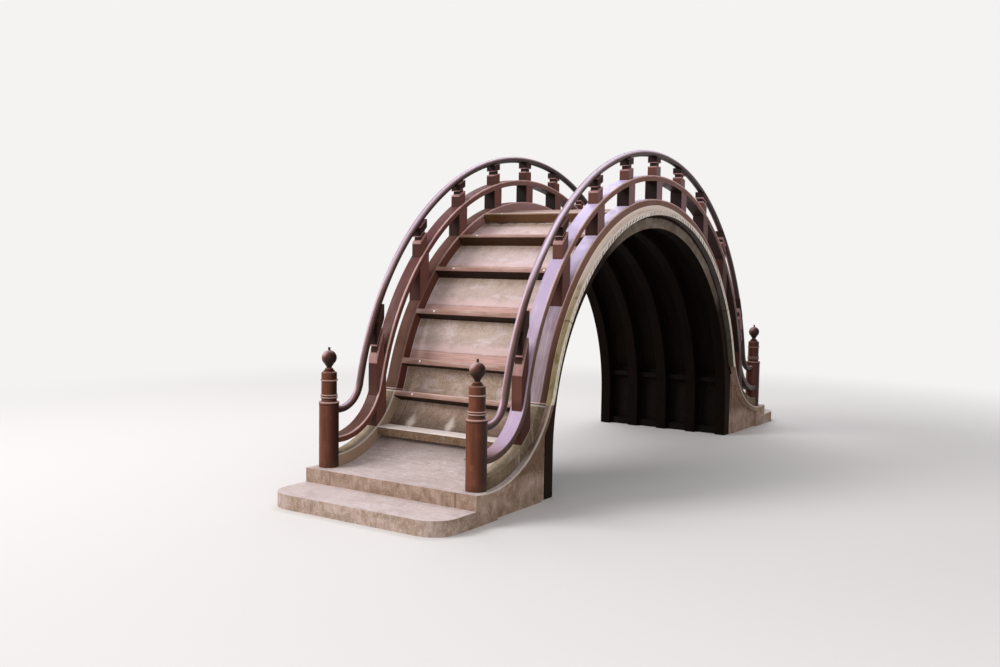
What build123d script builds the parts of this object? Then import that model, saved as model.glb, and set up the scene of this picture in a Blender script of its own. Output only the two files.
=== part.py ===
from collections import namedtuple
from math import asin, cos, degrees, radians, sin, sqrt
import os

from build123d import *

# A high arched garden footbridge: a plank deck bent over five ribs, with cross treads,
# kerbs and round handrails, standing on two concrete abutments.
# X is across the bridge, Y along it, Z up. The origin is on the ground, midway.

half_width = 950

# Ends: plinth and lower step
riser = 130
landing_depth = 192
plinth_depth = 310
lower_step_depth = 495
lower_step_corner = 240

# Bow of the deck: one circle, turned outward at each foot
centre_height = 404
deck_radius = 2340
deck_flare = 1055
deck_thickness = 56
joint_height = 872
joint_tilt = 10

# Ribs and the lining between them
rib_count = 5
rib_width = 130
rib_depth = 139
rib_recess = 65
lining_thickness = 20
sill_height = 60
sill_depth = 80
upper_sill_top = 722
foot_sill_height = 90

# Abutment below the deck
pier_recess = 40
pier_return = 90

# Kerbs
kerb_ledge = 52.5
kerb_width = 145
kerb_height = 115

# Treads: concrete below the joint, wooden bars square to the deck above it
lowest_tread_thickness = 86
nosing = 8
tread_width = 60
tread_edge = 5
arc_tread_count = 5
crown_tread_angle = 21.3
tread_angle_pitch = 12.42
top_tread_gap = 27
top_tread_foot = 120
foot_offset = 535

# Boards on the deck, between the treads and over the crown
board_thickness = 12
crown_board_thickness = 18

# Newel posts: body, ring, waist with beads, cap, and a ball on a neck
newel_setback = 165
newel_height = 1100
newel_radius = 90
body_height = 575
ring_height = 28
ring_proud = 4
waist_radius = 71
waist_height = 190
bead_height = 14
bead_proud = 8
bead_gap = 8
bead_drop = 29
cap_radius = 71
cap_height = 84
cap_rounding = 16
disc_radius = 50
disc_height = 14
collar_radius = 38
collar_height = 17
neck_radius = 25
neck_height = 12
ball_radius = 69
ball_root_angle = 42
tip_radius = 11
tip_height = 27

# Rails, posts and struts
bay_count = 10
handrail_radius = 35
handrail_lift = 232
handrail_flare = 280
handrail_end_rise = 516
mid_rail_lift = 251
mid_rail_flare = 575
mid_rail_end_rise = 280
mid_rail_width = 140
mid_rail_thickness = 60
post_width = 140
strut_width = 105
strut_block_height = 102
strut_neck_width = 72
strut_neck_height = 38
strut_saddle = 6

# A bow is a circle about the deck's centre that turns outward at each foot
# and runs out level at its end height.
Bow = namedtuple("Bow", "radius flare end_height")


def lifted(bow, amount):
    """The bow that lies parallel to another, further out by an amount."""
    return Bow(bow.radius + amount, bow.flare - amount, bow.end_height + amount)


def flare_centre(bow):
    """Distance from the middle, and height, of the centre of the bow's foot arc."""
    height = bow.end_height + bow.flare
    reach = bow.radius + bow.flare
    return sqrt(reach**2 - (height - centre_height) ** 2), height


def turning_point(bow):
    """Where the circle passes into the foot arc."""
    run, height = flare_centre(bow)
    share = bow.radius / (bow.radius + bow.flare)
    return run * share, centre_height + (height - centre_height) * share


def foot_point(bow, share=0.5):
    """A point part of the way along the foot arc, from its level end."""
    run, height = flare_centre(bow)
    turn_run, turn_height = turning_point(bow)
    start = Vector(run, height - bow.flare)
    middle = Vector(turn_run, turn_height) * share + start * (1 - share)
    outward = (middle - Vector(run, height)).normalized()
    return run + outward.X * bow.flare, height + outward.Y * bow.flare


def distance_at(bow, height):
    """Distance from the middle at which the bow reaches a height."""
    run, flare_height = flare_centre(bow)
    if height >= turning_point(bow)[1]:
        return sqrt(bow.radius**2 - (height - centre_height) ** 2)
    return run - sqrt(bow.flare**2 - (flare_height - height) ** 2)


def facing(bow, height):
    """How far the bow's outer side faces up from the horizontal at a height, in degrees."""
    if height >= turning_point(bow)[1]:
        return degrees(asin((height - centre_height) / bow.radius))
    return degrees(asin((flare_centre(bow)[1] - height) / bow.flare))


def area_under(bow):
    """The area below a bow, out to the plinth fronts."""
    run, _ = flare_centre(bow)
    turn_run, turn_height = turning_point(bow)
    foot_run, foot_height = foot_point(bow)
    with BuildSketch() as area:
        with BuildLine():
            Polyline(
                (-run, bow.end_height),
                (-plinth_front, bow.end_height),
                (-plinth_front, 0),
                (plinth_front, 0),
                (plinth_front, bow.end_height),
                (run, bow.end_height),
            )
            ThreePointArc((run, bow.end_height), (foot_run, foot_height), (turn_run, turn_height))
            ThreePointArc(
                (turn_run, turn_height), (0, centre_height + bow.radius), (-turn_run, turn_height)
            )
            ThreePointArc(
                (-turn_run, turn_height), (-foot_run, foot_height), (-run, bow.end_height)
            )
        make_face()
    return area.sketch


def area_between(low, high, near=None, far=None):
    """The area between two heights and two distances, or as long as the bridge."""
    near = -plinth_front if near is None else near
    far = plinth_front if far is None else far
    with BuildSketch() as area:
        with Locations(((near + far) / 2, (low + high) / 2)):
            Rectangle(far - near, high - low)
    return area.sketch


def area_below_joint(along):
    """What lies below the kerbs' joint at one end, which rises a little outward."""
    with BuildSketch() as area:
        with Locations((along * distance_at(deck_top, joint_height), joint_height)):
            Rectangle(
                2 * plinth_front,
                2 * joint_height,
                rotation=along * joint_tilt,
                align=(Align.CENTER, Align.MAX),
            )
    return area.sketch


def area_of_tread(along, height):
    """A bar square to the deck, with its outer face on the kerb line and its top edge at a height."""
    turn = facing(kerb_top, height)
    with BuildSketch() as area:
        with Locations((along * distance_at(kerb_top, height), height)):
            Rectangle(
                3 * kerb_height,
                tread_width,
                rotation=turn if along > 0 else 180 - turn,
                align=(Align.CENTER, Align.MAX if along > 0 else Align.MIN),
            )
    return area.sketch


def newel_socket():
    """Cuts the seats of all four newels out of what they pass through."""
    with Locations(*newel_seats):
        Cylinder(newel_radius, newel_height, align=standing, mode=Mode.SUBTRACT)


def finish(part, name):
    part.part.label = name
    export_step(part.part, f"parts/{name}.step")


os.makedirs("parts", exist_ok=True)

plinth_top = 2 * riser
deck_top = Bow(deck_radius, deck_flare, plinth_top)
deck_bottom = lifted(deck_top, -deck_thickness)
kerb_top = lifted(deck_top, kerb_height)
lining_face = lifted(deck_bottom, -lining_thickness)
board_face = lifted(deck_top, board_thickness)
crown_face = lifted(deck_top, crown_board_thickness)
slit_top = lifted(deck_top, top_tread_gap)
mid_rail_top = Bow(
    kerb_top.radius + mid_rail_lift, mid_rail_flare, plinth_top + mid_rail_end_rise
)
mid_rail_bottom = lifted(mid_rail_top, -mid_rail_thickness)
handrail_line = Bow(
    mid_rail_top.radius + handrail_lift, handrail_flare, plinth_top + handrail_end_rise
)

plinth_front = flare_centre(deck_top)[0] + landing_depth
newel_offset = plinth_front - newel_setback
sky = centre_height + handrail_line.radius + handrail_radius
abutment_face = deck_bottom.radius
pier_end = abutment_face + pier_return
barrel_radius = abutment_face - rib_depth
rib_outer_face = half_width - rib_recess
rib_pitch = (2 * rib_outer_face - rib_width) / (rib_count - 1)
rail_offset = half_width - kerb_ledge - kerb_width / 2
walk_half_width = rail_offset - kerb_width / 2
standing = (Align.CENTER, Align.CENTER, Align.MIN)
ends = {"near": -1, "far": 1}
sides = {"left": -1, "right": 1}
newel_places = [(hand * rail_offset, along * newel_offset) for hand in (-1, 1) for along in (-1, 1)]
newel_seats = [(x, y, plinth_top) for x, y in newel_places]

# Lower steps, with rounded front corners
for end, along in ends.items():
    with BuildPart() as lower_step:
        with BuildSketch():
            with Locations((0, along * (plinth_front + lower_step_depth / 2))):
                Rectangle(2 * half_width, lower_step_depth)
            front = vertices().group_by(Axis.Y)[-1 if along > 0 else 0]
            fillet(front, radius=lower_step_corner)
        extrude(amount=riser)
    finish(lower_step, f"{end}_lower_step")

# Abutments: the foot of the deck, the plinth and the narrower pier below them
for end, along in ends.items():
    with BuildPart() as abutment:
        with BuildSketch(Plane.YZ):
            add(area_under(deck_top))
            add(area_under(deck_bottom), mode=Mode.SUBTRACT)
            near, far = sorted((0, along * plinth_front))
            add(area_between(0, joint_height, near, far), mode=Mode.INTERSECT)
        extrude(amount=half_width, both=True)
        with BuildSketch(Plane.YZ):
            near, far = sorted((along * (plinth_front - plinth_depth), along * plinth_front))
            add(area_between(0, plinth_top, near, far))
        extrude(amount=half_width, both=True)
        with BuildSketch(Plane.YZ):
            near, far = sorted((along * pier_end, along * (plinth_front - plinth_depth)))
            add(area_between(0, joint_height, near, far))
            add(area_under(deck_bottom), mode=Mode.INTERSECT)
        extrude(amount=half_width - pier_recess, both=True)
        with BuildSketch(Plane.YZ):
            near, far = sorted((along * abutment_face, along * pier_end))
            add(area_between(0, joint_height, near, far))
            add(area_under(deck_bottom), mode=Mode.INTERSECT)
        extrude(amount=rib_outer_face, both=True)
        newel_socket()
    finish(abutment, f"{end}_abutment")

# Deck: planks bent over the ribs, from joint to joint
with BuildPart() as deck:
    with BuildSketch(Plane.YZ):
        add(area_under(deck_top))
        add(area_under(deck_bottom), mode=Mode.SUBTRACT)
        add(area_between(joint_height, sky), mode=Mode.INTERSECT)
    extrude(amount=half_width, both=True)
finish(deck, "arch_deck")

# Ribs, with straight legs down to the ground
for number in range(rib_count):
    across = (number - (rib_count - 1) / 2) * rib_pitch
    with BuildPart() as rib:
        with BuildSketch(Plane.YZ.offset(across)):
            add(area_under(deck_bottom))
            add(area_between(0, sky, -abutment_face, abutment_face), mode=Mode.INTERSECT)
            with Locations((0, centre_height)):
                Circle(barrel_radius, mode=Mode.SUBTRACT)
            with Locations((0, centre_height / 2)):
                Rectangle(2 * barrel_radius, centre_height, mode=Mode.SUBTRACT)
        extrude(amount=rib_width / 2, both=True)
    finish(rib, f"rib_{number + 1}")

# Lining boards between the ribs, above the upper sills
bay_width = rib_pitch - rib_width
bay_places = [(number - (rib_count - 2) / 2) * rib_pitch for number in range(rib_count - 1)]
with BuildPart() as lining:
    for across in bay_places:
        with BuildSketch(Plane.YZ.offset(across)):
            add(area_under(deck_bottom))
            add(area_under(lining_face), mode=Mode.SUBTRACT)
            add(area_between(upper_sill_top, sky, -abutment_face, abutment_face), mode=Mode.INTERSECT)
        extrude(amount=bay_width / 2, both=True)
finish(lining, "soffit_boards")

# Sills across each bay, below the lining and at the foot
for end, along in ends.items():
    near, far = sorted((along * (abutment_face - sill_depth), along * abutment_face))
    with BuildPart() as sills:
        for across in bay_places:
            with BuildSketch(Plane.YZ.offset(across)):
                add(area_between(upper_sill_top - sill_height, upper_sill_top, near, far))
                add(area_between(0, foot_sill_height, near, far))
            extrude(amount=bay_width / 2, both=True)
    finish(sills, f"{end}_sills")

# Kerbs: wood above the joints, concrete below them
for side, hand in sides.items():
    with BuildPart() as kerb:
        with BuildSketch(Plane.YZ.offset(hand * rail_offset)):
            add(area_under(kerb_top))
            add(area_under(deck_top), mode=Mode.SUBTRACT)
            for along in ends.values():
                add(area_below_joint(along), mode=Mode.SUBTRACT)
        extrude(amount=kerb_width / 2, both=True)
    finish(kerb, f"{side}_kerb")

for end, along in ends.items():
    with BuildPart() as kerb_feet:
        for hand in sides.values():
            with BuildSketch(Plane.YZ.offset(hand * rail_offset)):
                add(area_under(kerb_top))
                add(area_under(deck_top), mode=Mode.SUBTRACT)
                near, far = sorted((0, along * newel_offset))
                add(area_between(0, sky, near, far), mode=Mode.INTERSECT)
                add(area_below_joint(along), mode=Mode.INTERSECT)
            extrude(amount=kerb_width / 2, both=True)
        newel_socket()
    finish(kerb_feet, f"{end}_kerb_feet")

# The lowest tread is concrete and level. It lies halfway up to the joint.
lowest_height = (plinth_top + joint_height) / 2
for end, along in ends.items():
    nose = distance_at(kerb_top, lowest_height)
    with BuildPart() as lowest_tread:
        with BuildSketch(Plane.YZ):
            near, far = sorted((0, along * nose))
            add(area_between(lowest_height - lowest_tread_thickness, lowest_height, near, far))
            add(area_under(deck_top), mode=Mode.SUBTRACT)
            tip = vertices().sort_by_distance((along * nose, lowest_height))[0]
            chamfer(tip, length=nosing)
        extrude(amount=walk_half_width, both=True)
    finish(lowest_tread, f"{end}_tread_1")

# The other treads are bars that follow the deck, the first of them beside the kerbs' joints
arc_heights = [
    centre_height + kerb_top.radius * cos(radians(crown_tread_angle + number * tread_angle_pitch))
    for number in range(arc_tread_count)
]
joint_rise = kerb_height * sin(radians(joint_tilt))
tread_heights = [joint_height + joint_rise, *reversed(arc_heights)]
top_tread = len(tread_heights) + 1
for end, along in ends.items():
    for number, height in enumerate(tread_heights, start=2):
        with BuildPart() as tread:
            with BuildSketch(Plane.YZ):
                add(area_of_tread(along, height))
                add(area_under(kerb_top), mode=Mode.INTERSECT)
                add(area_under(deck_top), mode=Mode.SUBTRACT)
                arrises = vertices().sort_by_distance((0, centre_height))[-2:]
                chamfer(arrises, length=tread_edge)
            extrude(amount=walk_half_width, both=True)
            # The top tread stands on two feet, with a slit below it
            if number == top_tread:
                spans = (
                    (-walk_half_width, -foot_offset - top_tread_foot / 2),
                    (-foot_offset + top_tread_foot / 2, foot_offset - top_tread_foot / 2),
                    (foot_offset + top_tread_foot / 2, walk_half_width),
                )
                for left, right in spans:
                    with BuildSketch(Plane.YZ.offset(left)):
                        add(area_under(slit_top))
                    extrude(amount=right - left, mode=Mode.SUBTRACT)
        finish(tread, f"{end}_tread_{number}")

# Boards on the deck between one tread and the next
lowest_board = tread_heights[0] - kerb_height / 2
for end, along in ends.items():
    with BuildPart() as risers:
        with BuildSketch(Plane.YZ):
            add(area_under(board_face))
            add(area_under(deck_top), mode=Mode.SUBTRACT)
            near, far = sorted((0, along * plinth_front))
            add(area_between(lowest_board, tread_heights[-1], near, far), mode=Mode.INTERSECT)
            for height in tread_heights:
                add(area_of_tread(along, height), mode=Mode.SUBTRACT)
            above_top_tread = faces().sort_by(Axis.Y)[-1]
            add(above_top_tread, mode=Mode.SUBTRACT)
        extrude(amount=walk_half_width, both=True)
    finish(risers, f"{end}_riser_boards")

with BuildPart() as crown:
    with BuildSketch(Plane.YZ):
        add(area_under(crown_face))
        add(area_under(deck_top), mode=Mode.SUBTRACT)
        add(area_between(tread_heights[-2], sky), mode=Mode.INTERSECT)
        for along in ends.values():
            add(area_of_tread(along, tread_heights[-1]), mode=Mode.SUBTRACT)
        for piece in faces().sort_by(Axis.Y)[:-1]:
            add(piece, mode=Mode.SUBTRACT)
    extrude(amount=walk_half_width, both=True)
finish(crown, "crown_boards")

# Newel posts, turned: bands round the axis, then the finial's outline
ring_top = body_height + ring_height
waist_top = ring_top + waist_height
cap_top = waist_top + cap_height
collar_foot = cap_top + disc_height
collar_top = collar_foot + collar_height
bead_foots = (
    ring_top + bead_drop,
    ring_top + bead_drop + bead_height + bead_gap,
    waist_top,
)
ball_centre = newel_height - tip_height - ball_radius
ball_root = (
    ball_radius * sin(radians(ball_root_angle)),
    ball_centre - ball_radius * cos(radians(ball_root_angle)),
)
tip_foot = (tip_radius, ball_centre + sqrt(ball_radius**2 - tip_radius**2))
for side, hand in sides.items():
    for end, along in ends.items():
        seat = (hand * rail_offset, along * newel_offset, plinth_top)
        with BuildPart() as newel:
            with BuildSketch(Plane(origin=seat, x_dir=(1, 0, 0), z_dir=(0, -1, 0))):
                for radius, foot, height in (
                    (newel_radius, 0, body_height),
                    (waist_radius, ring_top, waist_height),
                    (disc_radius, cap_top, disc_height),
                ):
                    with Locations((0, foot + height / 2)):
                        Rectangle(2 * radius, height)
                for radius, foot, height, rounding in (
                    (newel_radius + ring_proud, body_height, ring_height, ring_height / 4),
                    *(
                        (waist_radius + bead_proud, foot, bead_height, bead_height / 3)
                        for foot in bead_foots
                    ),
                    (collar_radius, collar_foot, collar_height, collar_height / 3),
                ):
                    with Locations((0, foot + height / 2)):
                        RectangleRounded(2 * radius, height, rounding)
                with Locations((0, waist_top + cap_height / 2)):
                    Rectangle(2 * cap_radius, cap_height)
                shoulders = vertices().sort_by_distance((0, cap_top))
                fillet([v for v in shoulders if abs(v.X) == cap_radius][:2], radius=cap_rounding)
                with Locations((0, newel_height / 2)):
                    Rectangle(2 * newel_radius + 2 * ring_proud, newel_height, mode=Mode.INTERSECT)
                with BuildLine():
                    Polyline(
                        (0, collar_top),
                        (neck_radius, collar_top),
                        (neck_radius, collar_top + neck_height),
                        ball_root,
                    )
                    ThreePointArc(ball_root, (ball_radius, ball_centre), tip_foot)
                    Polyline(tip_foot, (tip_radius, newel_height), (0, newel_height), (0, collar_top))
                make_face()
                with Locations((-newel_radius, newel_height / 2)):
                    Rectangle(2 * newel_radius, newel_height, mode=Mode.SUBTRACT)
            revolve(axis=Axis(seat, (0, 0, 1)))
        finish(newel, f"{end}_{side}_newel")

# Handrails, round, bending level into the newels
for side, hand in sides.items():
    plane = Plane.YZ.offset(hand * rail_offset)
    run, _ = flare_centre(handrail_line)
    turn_run, turn_height = turning_point(handrail_line)
    foot_run, foot_height = foot_point(handrail_line)
    crown_height = centre_height + handrail_line.radius
    with BuildPart() as handrail:
        with BuildLine(plane) as route:
            Line((-newel_offset, handrail_line.end_height), (-run, handrail_line.end_height))
            ThreePointArc(
                (-run, handrail_line.end_height), (-foot_run, foot_height), (-turn_run, turn_height)
            )
            ThreePointArc((-turn_run, turn_height), (0, crown_height), (turn_run, turn_height))
            ThreePointArc(
                (turn_run, turn_height), (foot_run, foot_height), (run, handrail_line.end_height)
            )
            Line((run, handrail_line.end_height), (newel_offset, handrail_line.end_height))
        with BuildSketch(Plane(origin=route.line @ 0, z_dir=route.line % 0)):
            Circle(handrail_radius)
        sweep()
        newel_socket()
    finish(handrail, f"{side}_handrail")

    # Mid rail: a flat band between the posts and the short struts above it
    with BuildPart() as mid_rail:
        with BuildSketch(plane):
            add(area_under(mid_rail_top))
            add(area_under(mid_rail_bottom), mode=Mode.SUBTRACT)
            add(area_between(0, sky, -newel_offset, newel_offset), mode=Mode.INTERSECT)
        extrude(amount=mid_rail_width / 2, both=True)
        newel_socket()
    finish(mid_rail, f"{side}_mid_rail")

    # Posts from the kerb to the mid rail
    bay = 2 * newel_offset / bay_count
    post_places = [(number - bay_count / 2) * bay for number in range(1, bay_count)]
    with BuildPart() as posts:
        with BuildSketch(plane):
            with Locations(*[(y, sky / 2) for y in post_places]):
                Rectangle(post_width, sky)
            add(area_under(mid_rail_bottom), mode=Mode.INTERSECT)
            add(area_under(kerb_top), mode=Mode.SUBTRACT)
        extrude(amount=post_width / 2, both=True)
    finish(posts, f"{side}_posts")

    # Struts from the mid rail to the handrail: block, neck and head
    block_radius = mid_rail_top.radius + strut_block_height
    head_foot_radius = block_radius + strut_neck_height
    head_radius = handrail_line.radius - handrail_radius + strut_saddle
    with BuildPart() as struts:
        for width, inner, outer in (
            (strut_width, 0, block_radius),
            (strut_neck_width, block_radius, head_foot_radius),
            (strut_width, head_foot_radius, head_radius),
        ):
            with BuildSketch(plane):
                with Locations(*[(y, sky / 2) for y in post_places]):
                    Rectangle(width, sky)
                with Locations((0, centre_height)):
                    Circle(outer, mode=Mode.INTERSECT)
                    if inner > 0:
                        Circle(inner, mode=Mode.SUBTRACT)
                add(area_under(mid_rail_top), mode=Mode.SUBTRACT)
            extrude(amount=width / 2, both=True)
        add(handrail.part, mode=Mode.SUBTRACT)
    finish(struts, f"{side}_struts")
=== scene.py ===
import math
import random

import bmesh
import bpy
from mathutils import Matrix, Vector


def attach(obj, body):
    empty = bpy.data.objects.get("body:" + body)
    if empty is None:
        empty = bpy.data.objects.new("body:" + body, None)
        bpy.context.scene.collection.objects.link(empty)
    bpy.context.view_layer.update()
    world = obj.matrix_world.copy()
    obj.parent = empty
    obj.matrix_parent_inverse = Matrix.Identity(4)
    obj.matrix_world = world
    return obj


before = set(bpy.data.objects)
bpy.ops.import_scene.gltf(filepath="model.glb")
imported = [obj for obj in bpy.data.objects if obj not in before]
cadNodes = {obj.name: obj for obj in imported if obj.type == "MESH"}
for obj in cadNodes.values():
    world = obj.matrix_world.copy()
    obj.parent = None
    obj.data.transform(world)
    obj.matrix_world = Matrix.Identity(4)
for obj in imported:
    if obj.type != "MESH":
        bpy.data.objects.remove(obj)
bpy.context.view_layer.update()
print("frame loaded:", len(cadNodes), "nodes")

# The bow that deck, kerbs and boards follow: a circle, then a flare that turns it level at each foot.
bow = {
    "centreHeight": 0.404, "radius": 2.34, "flareRadius": 1.055, "flareY": 3.2705, "flareZ": 1.315,
    "kerbLift": 0.115,
    "firstTread": 0.8699,    # along the bow, from the crown to the top tread's upper edge
    "treadPitch": 0.50724,
    "barShare": 0.113,       # how much of a pitch the tread itself takes
    "lowTread": 3.2458,      # the tread at the joint lies closer, on the flare
    "jointAlong": 3.2106,    # where the concrete starts, and how that drifts with the lift
    "jointDrift": 0.2957,
}
# The mid rails follow a bow of their own. Its top lies at this radius.
railBow = {"centreHeight": 0.404, "radius": 2.706, "flareRadius": 0.575, "flareY": 3.203, "flareZ": 1.115}
for curve in (bow, railBow):
    curve["turnAngle"] = math.atan2(curve["flareY"], curve["flareZ"] - curve["centreHeight"])
    curve["turnAlong"] = curve["radius"] * curve["turnAngle"]
# Half widths, from the middle of the walk
half = {
    "deck": 0.95, "walk": 0.7525, "kerbInner": 0.7525, "kerbOuter": 0.8975,
    "railInner": 0.755, "railOuter": 0.895, "screw": 0.535,
}


# Small helpers for node trees.

class Signal:    # what runs out of a socket; sums with it add Math nodes to its tree
    def __init__(self, socket):
        self.socket = socket

    def __add__(self, other):
        return calc("ADD", self, other)

    def __sub__(self, other):
        return calc("SUBTRACT", self, other)

    def __rsub__(self, other):
        return calc("SUBTRACT", other, self)

    def __mul__(self, other):
        return calc("MULTIPLY", self, other)

    def __truediv__(self, other):
        return calc("DIVIDE", self, other)

    def __gt__(self, other):
        return calc("GREATER_THAN", self, other)

    def __lt__(self, other):
        return calc("LESS_THAN", self, other)

    def __abs__(self):
        return calc("ABSOLUTE", self)


def tone(red, green, blue):    # a colour in display values from 0 to 255, as linear light
    def linear(share):
        return share / 12.92 if share <= 0.04045 else ((share + 0.055) / 1.055) ** 2.4
    return tuple(linear(channel / 255) for channel in (red, green, blue)) + (1.0,)


def feed(socket, source):
    if isinstance(source, Signal):
        socket.id_data.links.new(source.socket, socket)
    else:
        socket.default_value = source


def treeOf(inputs):    # the tree that the given signals run in
    return next(source.socket.id_data for source in inputs.values() if isinstance(source, Signal))


def addNode(kind, inputs, tree=None, **settings):
    made = (tree or treeOf(inputs)).nodes.new("ShaderNode" + kind)
    for name, setting in settings.items():
        setattr(made, name, setting)
    for name, source in inputs.items():
        feed(made.inputs[name], source)
    return made


def results(node):
    return {socket.name: Signal(socket) for socket in node.outputs}


def calc(operation, *sources):
    return Signal(addNode("Math", dict(enumerate(sources)), operation=operation).outputs[0])


def vectorCalc(operation, first, second):
    return Signal(addNode("VectorMath", {0: first, 1: second}, operation=operation).outputs[0])


def stretched(vector, factors):
    return vectorCalc("MULTIPLY", vector, factors)


def pick(choice, first, second):
    return choice * (second - first) + first


def larger(first, second):
    return calc("MAXIMUM", first, second)


def axes(vector):
    return results(addNode("SeparateXYZ", {0: vector}))


def spread(source, low, high, toLow=0.0, toHigh=1.0):    # a soft step from low to high
    values = dict(enumerate((source, low, high, toLow, toHigh)))
    return Signal(addNode("MapRange", values, interpolation_type="SMOOTHSTEP").outputs[0])


def blend(amount, first, second, kind="MIX"):
    made = addNode("Mix", {0: amount, 6: first, 7: second}, data_type="RGBA", blend_type=kind)
    return Signal(made.outputs[2])


def multiplied(colour, other):
    return blend(1.0, colour, other, "MULTIPLY")


def shaded(colour, amount, value):    # a colour made lighter and darker by a value
    grey = addNode("CombineColor", {0: value, 1: value, 2: value}).outputs[0]
    return blend(amount, colour, multiplied(colour, Signal(grey)))


def ramp(source, stops):
    made = addNode("ValToRGB", {"Fac": source})
    points = made.color_ramp.elements
    points[0].position, points[0].color = stops[0]
    points[1].position, points[1].color = stops[-1]
    for place, colour in stops[1:-1]:
        points.new(place).color = colour
    return Signal(made.outputs["Color"])


def noiseAt(vector, scale, detail=4.0, roughness=0.55, distortion=0.0):
    made = addNode("TexNoise", {
        "Vector": vector, "Scale": scale, "Detail": detail, "Roughness": roughness, "Distortion": distortion})
    return Signal(made.outputs["Fac"])


def newGroup(name, takes, gives):
    tree = bpy.data.node_groups.new(name, "ShaderNodeTree")
    for label, (kind, start) in takes.items():
        socket = tree.interface.new_socket(label, in_out="INPUT", socket_type="NodeSocket" + kind)
        socket.default_value = start
    for label, kind in gives.items():
        tree.interface.new_socket(label, in_out="OUTPUT", socket_type="NodeSocket" + kind)
    return tree, results(tree.nodes.new("NodeGroupInput")), tree.nodes.new("NodeGroupOutput").inputs


def useGroup(group, inputs):
    made = treeOf(inputs).nodes.new("ShaderNodeGroup")
    made.node_tree = group
    for name, source in inputs.items():
        feed(made.inputs[name], source)
    return results(made)


# Effects that several materials share.

def buildBowPlace(name, curve):    # where a point lies on a bow, and which way its surface faces there
    tree, enter, leave = newGroup(
        name, {"Position": ("Vector", (0, 0, 0)), "Normal": ("Vector", (0, 0, 1))},
        {"Along": "Float", "Lift": "Float", "Outward": "Float", "Downhill": "Float",
         "Inward": "Float", "Aside": "Float", "Grain": "Vector"})
    place = axes(enter["Position"])
    facing = axes(enter["Normal"])
    end = calc("SIGN", place["Y"])
    reach = abs(place["Y"])
    rise = place["Z"] - curve["centreHeight"]
    angle = calc("ARCTAN2", reach, rise)
    far = calc("SQRT", reach * reach + rise * rise)
    flareY = curve["flareY"] - reach
    flareZ = curve["flareZ"] - place["Z"]
    flareFar = calc("SQRT", flareY * flareY + flareZ * flareZ)
    flareAngle = calc("ARCTAN2", flareY, flareZ)
    onFlare = angle > curve["turnAngle"]
    flareAlong = (curve["turnAngle"] - flareAngle) * curve["flareRadius"] + curve["turnAlong"]
    along = pick(onFlare, angle * curve["radius"], flareAlong)
    lift = pick(onFlare, far - curve["radius"], curve["flareRadius"] - flareFar)
    outY = pick(onFlare, reach / far, flareY / flareFar)
    outZ = pick(onFlare, rise / far, flareZ / flareFar)
    faceY = facing["Y"] * end
    feed(leave["Along"], along)
    feed(leave["Lift"], lift)
    feed(leave["Outward"], faceY * outY + facing["Z"] * outZ)
    feed(leave["Downhill"], faceY * outZ - facing["Z"] * outY)
    feed(leave["Inward"], facing["X"] * calc("SIGN", place["X"]) * -1.0)
    feed(leave["Aside"], abs(place["X"]))
    grain = addNode("CombineXYZ", {"X": place["X"], "Y": along * end, "Z": lift})
    feed(leave["Grain"], Signal(grain.outputs[0]))
    return tree


def buildWoodGrain():    # long fibres; Stretch is small along the fibres and large across them
    tree, enter, leave = newGroup(
        "woodGrain",
        {"Vector": ("Vector", (0, 0, 0)), "Stretch": ("Vector", (1, 20, 20)), "Waviness": ("Float", 0.3)},
        {"Streak": "Float", "Fibre": "Float"})
    wave = addNode("TexNoise", {"Vector": enter["Vector"], "Scale": 3.0, "Detail": 2.0}).outputs["Color"]
    bent = vectorCalc("SUBTRACT", Signal(wave), (0.5, 0.5, 0.5))
    push = addNode("VectorMath", {0: bent, "Scale": enter["Waviness"]}, operation="SCALE").outputs[0]
    path = vectorCalc("ADD", stretched(enter["Vector"], enter["Stretch"]), Signal(push))
    feed(leave["Streak"], noiseAt(path, 1.0, 5.0, 0.6, 0.4))
    feed(leave["Fibre"], noiseAt(path, 5.5, 4.0, 0.7))
    return tree


def buildSpeckle():    # scattered small spots, Share of the surface
    tree, enter, leave = newGroup(
        "speckle", {"Vector": ("Vector", (0, 0, 0)), "Scale": ("Float", 60.0), "Share": ("Float", 0.3)},
        {"Mask": "Float"})
    edge = 0.75 - enter["Share"] * 0.45
    feed(leave["Mask"], spread(noiseAt(enter["Vector"], enter["Scale"], 2.0, 0.6) - edge, -0.03, 0.05))
    return tree


def buildMottle():    # three tones clouded into each other
    tree, enter, leave = newGroup(
        "mottle",
        {"Vector": ("Vector", (0, 0, 0)), "Scale": ("Float", 4.0), "First": ("Color", (1, 1, 1, 1)),
         "Second": ("Color", (0.5, 0.5, 0.5, 1)), "Third": ("Color", (0.2, 0.2, 0.2, 1))},
        {"Color": "Color", "Cloud": "Float"})
    cloud = noiseAt(enter["Vector"], enter["Scale"], 6.0, 0.62, 0.6)
    small = noiseAt(enter["Vector"], enter["Scale"] * 4.3, 5.0, 0.7)
    low = blend(spread(cloud, 0.35, 0.65), enter["First"], enter["Second"])
    feed(leave["Color"], blend(spread(small, 0.5, 0.75), low, enter["Third"]))
    feed(leave["Cloud"], cloud)
    return tree


def buildEdgeWear():    # a ragged line along an arris, Width wide, that fades with the distance from it
    tree, enter, leave = newGroup(
        "edgeWear",
        {"Distance": ("Float", 0.0), "Width": ("Float", 0.01), "Vector": ("Vector", (0, 0, 0)),
         "Ragged": ("Float", 0.5)},
        {"Mask": "Float"})
    shift = (noiseAt(enter["Vector"], 11.0, 5.0, 0.7) - 0.5) * enter["Ragged"]
    feed(leave["Mask"], spread(enter["Distance"] / enter["Width"] + shift * 3.0, 1.1, 0.6))
    return tree


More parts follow.
